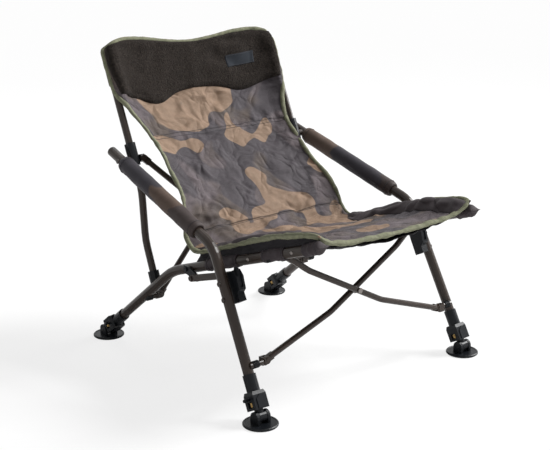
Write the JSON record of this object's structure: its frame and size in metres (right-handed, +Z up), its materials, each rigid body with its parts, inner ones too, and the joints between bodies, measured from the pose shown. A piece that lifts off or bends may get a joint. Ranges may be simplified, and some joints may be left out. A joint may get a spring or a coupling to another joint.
{
  "type": "folding_fishing_chair",
  "caption": "Low folding carp-fishing chair: camouflage padded sling with fleece head panel, armrests, crossed braces and telescopic legs on round mud feet.",
  "frame": {"origin": "middle of the footprint, on the ground", "axes": "+X across the chair, to the sitter's left, +Y from the seat's front edge to the backrest, +Z up"},
  "size_m": [0.6616, 0.7404, 0.6964],
  "materials": {
    "taupe_tube": "matt powder coat, dark brown-taupe",
    "black_plastic": "moulded, black with a bluish sheen",
    "camo_cloth": "padded woven polyester, grey-purple, brown and tan camouflage",
    "fleece": "brushed fleece",
    "dark_cloth": "woven",
    "pad_neoprene": "foam-backed neoprene",
    "rivet_steel": "plain"
  },
  "bodies": {
    "rail_frame_left": {"side_rail_left": "taupe_tube", "back_upright_left": "taupe_tube", "upright_socket_left": "black_plastic", "stay_bracket_left": "black_plastic", "rear_leg_lock_left": "black_plastic", "rail_sleeve_front_left": "dark_cloth", "rail_sleeve_middle_left": "dark_cloth", "rail_sleeve_rear_left": "dark_cloth", "sling_panel": "camo_cloth", "head_pad": "fleece", "seat_underlay": "dark_cloth"},
    "arm_frame_left": {"front_leg_arm_left": "taupe_tube", "arm_end_plug_left": "black_plastic", "arm_pad_left": "pad_neoprene", "side_stay_left": "taupe_tube", "stay_catch_left": "black_plastic", "front_leg_lock_left": "black_plastic"},
    "upper_fork_left_body": {"upper_fork_left": "taupe_tube"},
    "lower_fork_left_body": {"lower_fork_left": "taupe_tube"},
    "rear_fork_left_body": {"rear_fork_left": "taupe_tube"},
    "arm_collar_left_body": {"arm_collar_left": "black_plastic"},
    "catch_trigger_left_body": {"catch_trigger_left": "black_plastic"},
    "front_inner_leg_left_body": {"front_inner_leg_left": "black_plastic"},
    "rear_inner_leg_left_body": {"rear_inner_leg_left": "black_plastic"},
    "front_foot_left_body": {"front_foot_left": "black_plastic"},
    "rear_foot_left_body": {"rear_foot_left": "black_plastic"},
    "front_release_pin_left_body": {"front_release_pin_left": "black_plastic"},
    "rear_release_pin_left_body": {"rear_release_pin_left": "black_plastic"},
    "rail_frame_right": {"side_rail_right": "taupe_tube", "back_upright_right": "taupe_tube", "upright_socket_right": "black_plastic", "stay_bracket_right": "black_plastic", "rear_leg_lock_right": "black_plastic", "rail_sleeve_front_right": "dark_cloth", "rail_sleeve_middle_right": "dark_cloth", "rail_sleeve_rear_right": "dark_cloth"},
    "arm_frame_right": {"front_leg_arm_right": "taupe_tube", "arm_end_plug_right": "black_plastic", "arm_pad_right": "pad_neoprene", "side_stay_right": "taupe_tube", "stay_catch_right": "black_plastic", "front_leg_lock_right": "black_plastic"},
    "upper_fork_right_body": {"upper_fork_right": "taupe_tube"},
    "lower_fork_right_body": {"lower_fork_right": "taupe_tube"},
    "rear_fork_right_body": {"rear_fork_right": "taupe_tube"},
    "arm_collar_right_body": {"arm_collar_right": "black_plastic"},
    "catch_trigger_right_body": {"catch_trigger_right": "black_plastic"},
    "front_inner_leg_right_body": {"front_inner_leg_right": "black_plastic"},
    "rear_inner_leg_right_body": {"rear_inner_leg_right": "black_plastic"},
    "front_foot_right_body": {"front_foot_right": "black_plastic"},
    "rear_foot_right_body": {"rear_foot_right": "black_plastic"},
    "front_release_pin_right_body": {"front_release_pin_right": "black_plastic"},
    "rear_release_pin_right_body": {"rear_release_pin_right": "black_plastic"},
    "front_bar_ahead": {"front_brace_ahead": "taupe_tube", "front_brace_rivet": "rivet_steel"},
    "front_bar_behind": {"front_brace_behind": "taupe_tube"},
    "rear_bar_behind": {"rear_brace_behind": "taupe_tube", "rear_brace_rivet": "rivet_steel"},
    "rear_bar_ahead": {"rear_brace_ahead": "taupe_tube"}
  },
  "joints": [
    {"name": "upper_fork_left_tilt", "type": "hinge", "parent": "rail_frame_left", "child": "upper_fork_left_body", "pos_m": [-0.19, -0.23239, 0.3128], "axis": [1, 0, 0], "range_deg": [0, 55.52]},
    {"name": "fold", "type": "hinge", "parent": "upper_fork_left_body", "child": "front_bar_ahead", "pos_m": [-0.19, -0.23962, 0.31338], "axis": [0, -0.9967, 0.0806], "range_deg": [-35, 0], "deforming": ["sling_panel", "head_pad", "seat_underlay"]},
    {"name": "front_cross_turn", "type": "hinge", "parent": "front_bar_ahead", "child": "front_bar_behind", "pos_m": [0, -0.24128, 0.20286], "axis": [0, -0.9967, 0.0806], "range_deg": [0, 70.02]},
    {"name": "upper_fork_right_turn", "type": "hinge", "parent": "front_bar_behind", "child": "upper_fork_right_body", "pos_m": [0.19, -0.22517, 0.31222], "axis": [0, -0.9967, 0.0806], "range_deg": [-35.02, 0]},
    {"name": "rail_frame_right_tilt", "type": "hinge", "parent": "upper_fork_right_body", "child": "rail_frame_right", "pos_m": [0.19, -0.23239, 0.3128], "axis": [1, 0, 0], "range_deg": [-55.52, 0]},
    {"name": "lower_fork_left_turn", "type": "hinge", "parent": "front_bar_behind", "child": "lower_fork_left_body", "pos_m": [-0.2438, -0.24157, 0.10942], "axis": [0, -0.9967, 0.0806], "range_deg": [-35.02, 0]},
    {"name": "lower_fork_right_turn", "type": "hinge", "parent": "front_bar_ahead", "child": "lower_fork_right_body", "pos_m": [0.2438, -0.25602, 0.11058], "axis": [0, -0.9967, 0.0806], "range_deg": [0, 35.02]},
    {"name": "arm_frame_left_tilt", "type": "hinge", "parent": "lower_fork_left_body", "child": "arm_frame_left", "pos_m": [-0.2438, -0.24879, 0.11], "axis": [1, 0, 0], "range_deg": [-20.8, 0]},
    {"name": "arm_frame_right_tilt", "type": "hinge", "parent": "lower_fork_right_body", "child": "arm_frame_right", "pos_m": [0.2438, -0.24879, 0.11], "axis": [1, 0, 0], "range_deg": [-20.8, 0]},
    {"name": "collar_left_slide", "type": "slide", "parent": "rail_frame_left", "child": "arm_collar_left_body", "axis": [0, 0.4027, 0.9153], "range_m": [0, 0.1652]},
    {"name": "collar_right_slide", "type": "slide", "parent": "rail_frame_right", "child": "arm_collar_right_body", "axis": [0, 0.4027, 0.9153], "range_m": [0, 0.1652]},
    {"name": "rear_fork_left_tilt", "type": "hinge", "parent": "rail_frame_left", "child": "rear_fork_left_body", "pos_m": [-0.208, 0.17111, 0.1344], "axis": [1, 0, 0], "range_deg": [-4.85, 0]},
    {"name": "rear_fork_right_tilt", "type": "hinge", "parent": "rail_frame_right", "child": "rear_fork_right_body", "pos_m": [0.208, 0.17111, 0.1344], "axis": [1, 0, 0], "range_deg": [-4.85, 0]},
    {"name": "rear_bar_turn", "type": "hinge", "parent": "rear_fork_left_body", "child": "rear_bar_behind", "pos_m": [-0.208, 0.17825, 0.13317], "axis": [0, -0.9854, 0.1701], "range_deg": [0, 28.04]},
    {"name": "rear_cross_turn", "type": "hinge", "parent": "rear_bar_behind", "child": "rear_bar_ahead", "pos_m": [0, 0.19763, 0.28808], "axis": [0, -0.9854, 0.1701], "range_deg": [-56.06, 0]},
    {"name": "front_leg_left_extend", "type": "slide", "parent": "arm_frame_left", "child": "front_inner_leg_left_body", "axis": [-0.0357, -0.4612, -0.8866], "range_m": [0, 0.09]},
    {"name": "front_foot_left_tilt", "type": "hinge", "parent": "front_inner_leg_left_body", "child": "front_foot_left_body", "pos_m": [-0.29498, -0.2858, 0.018], "axis": [1, 0, 0], "range_deg": [-20, 20]},
    {"name": "front_release_pin_left_pull", "type": "slide", "parent": "arm_frame_left", "child": "front_release_pin_left_body", "axis": [-0.9994, 0.0165, 0.0317], "range_m": [0, 0.004], "stiffness_N_per_m": 600, "springref_m": -0.004},
    {"name": "rear_leg_left_extend", "type": "slide", "parent": "rail_frame_left", "child": "rear_inner_leg_left_body", "axis": [-0.041, 0.7859, -0.617], "range_m": [0, 0.09]},
    {"name": "rear_foot_left_tilt", "type": "hinge", "parent": "rear_inner_leg_left_body", "child": "rear_foot_left_body", "pos_m": [-0.25111, 0.3342, 0.018], "axis": [1, 0, 0], "range_deg": [-15, 15]},
    {"name": "rear_release_pin_left_pull", "type": "slide", "parent": "rail_frame_left", "child": "rear_release_pin_left_body", "axis": [-0.9992, -0.0323, 0.0253], "range_m": [0, 0.004], "stiffness_N_per_m": 600, "springref_m": -0.004},
    {"name": "catch_trigger_left_pull", "type": "hinge", "parent": "arm_frame_left", "child": "catch_trigger_left_body", "pos_m": [-0.263, -0.18545, 0.25404], "axis": [1, 0, 0], "range_deg": [0, 14], "stiffness_Nm_per_rad": 0.06, "springref_deg": -28.65},
    {"name": "front_leg_right_extend", "type": "slide", "parent": "arm_frame_right", "child": "front_inner_leg_right_body", "axis": [0.0357, -0.4612, -0.8866], "range_m": [0, 0.09]},
    {"name": "front_foot_right_tilt", "type": "hinge", "parent": "front_inner_leg_right_body", "child": "front_foot_right_body", "pos_m": [0.29498, -0.2858, 0.018], "axis": [1, 0, 0], "range_deg": [-20, 20]},
    {"name": "front_release_pin_right_pull", "type": "slide", "parent": "arm_frame_right", "child": "front_release_pin_right_body", "axis": [0.9994, 0.0165, 0.0317], "range_m": [0, 0.004], "stiffness_N_per_m": 600, "springref_m": -0.004},
    {"name": "rear_leg_right_extend", "type": "slide", "parent": "rail_frame_right", "child": "rear_inner_leg_right_body", "axis": [0.041, 0.7859, -0.617], "range_m": [0, 0.09]},
    {"name": "rear_foot_right_tilt", "type": "hinge", "parent": "rear_inner_leg_right_body", "child": "rear_foot_right_body", "pos_m": [0.25111, 0.3342, 0.018], "axis": [1, 0, 0], "range_deg": [-15, 15]},
    {"name": "rear_release_pin_right_pull", "type": "slide", "parent": "rail_frame_right", "child": "rear_release_pin_right_body", "axis": [0.9992, -0.0323, 0.0253], "range_m": [0, 0.004], "stiffness_N_per_m": 600, "springref_m": -0.004},
    {"name": "catch_trigger_right_pull", "type": "hinge", "parent": "arm_frame_right", "child": "catch_trigger_right_body", "pos_m": [0.263, -0.18545, 0.25404], "axis": [1, 0, 0], "range_deg": [0, 14], "stiffness_Nm_per_rad": 0.06, "springref_deg": -28.65}
  ],
  "couplings": [
    {"joint": "upper_fork_left_tilt", "follows": "fold", "ratio": -1.5857},
    {"joint": "front_cross_turn", "follows": "fold", "ratio": -2},
    {"joint": "upper_fork_right_turn", "follows": "fold", "ratio": 1},
    {"joint": "rail_frame_right_tilt", "follows": "fold", "ratio": 1.5857},
    {"joint": "lower_fork_left_turn", "follows": "fold", "ratio": 1},
    {"joint": "lower_fork_right_turn", "follows": "fold", "ratio": -1},
    {"joint": "arm_frame_left_tilt", "follows": "fold", "ratio": 0.59371},
    {"joint": "arm_frame_right_tilt", "follows": "fold", "ratio": 0.59371},
    {"joint": "collar_left_slide", "follows": "fold", "m_per_rad": -0.27016},
    {"joint": "collar_right_slide", "follows": "fold", "m_per_rad": -0.27016},
    {"joint": "rear_fork_left_tilt", "follows": "fold", "ratio": 0.138},
    {"joint": "rear_fork_right_tilt", "follows": "fold", "ratio": 0.138},
    {"joint": "rear_bar_turn", "follows": "fold", "ratio": -0.80057},
    {"joint": "rear_cross_turn", "follows": "fold", "ratio": 1.6011}
  ]
}
